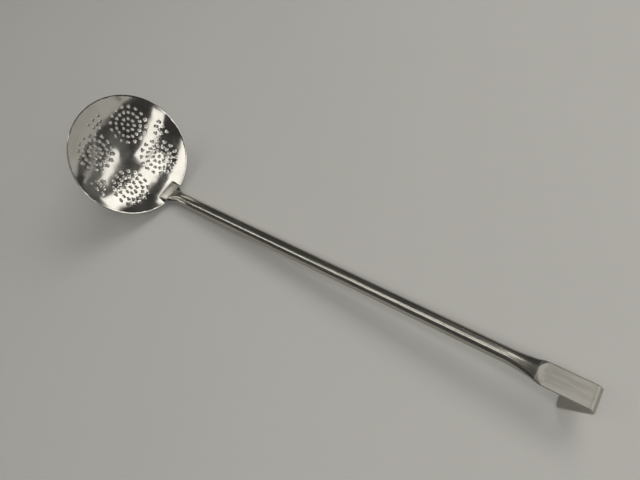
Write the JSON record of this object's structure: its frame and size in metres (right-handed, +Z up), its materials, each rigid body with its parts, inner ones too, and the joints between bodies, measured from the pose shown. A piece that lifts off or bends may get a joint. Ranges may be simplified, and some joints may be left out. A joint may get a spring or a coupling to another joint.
{
  "type": "kitchen skimmer",
  "caption": "Kitchen skimmer: a shallow perforated dish on a long tube handle that is pressed flat and bent back into a hanging hook.",
  "frame": {"origin": "centre of the bounding box at its bottom, on the table the skimmer lies on", "axes": "+X along the handle from the bowl to the hook, +Z up, +Y to the left when looking from the bowl to the hook; the part is even about the XZ plane but for the hand-placed holes"},
  "size_m": [0.6062, 0.1468, 0.1316],
  "materials": {
    "bowl": "polished stainless sheet, faintly wavy",
    "handle": "satin stainless tube, fine lines along its length",
    "weld": "weld bead, rippled and dull"
  },
  "bodies": {
    "root": {"bowl": "bowl", "handle": "handle", "weld_left": "weld", "weld_right": "weld"}
  },
  "joints": []
}
